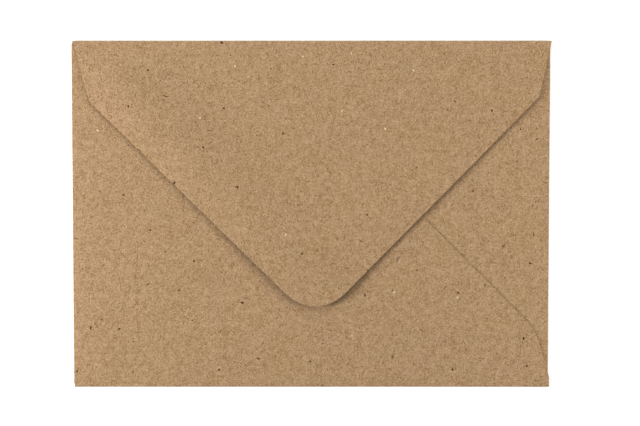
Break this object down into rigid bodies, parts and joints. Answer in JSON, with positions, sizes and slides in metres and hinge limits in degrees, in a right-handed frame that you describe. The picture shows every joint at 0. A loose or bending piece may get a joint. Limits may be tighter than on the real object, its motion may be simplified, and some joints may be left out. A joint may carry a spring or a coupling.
{
  "type": "paper envelope",
  "caption": "Kraft paper envelope with a deep pointed closing flap, shut but not stuck down, lying flap side up.",
  "frame": {"origin": "middle of the front face, on the surface that the envelope lies on", "axes": "+X along the long side, +Y towards the closing fold, +Z out of the flap side"},
  "size_m": [0.1842, 0.1339, 0.0026],
  "materials": {
    "kraft_paper": "uncoated recycled kraft, matte, with short fibres and dark and pale flecks"
  },
  "bodies": {
    "root": {"envelope": "kraft_paper"}
  },
  "joints": []
}
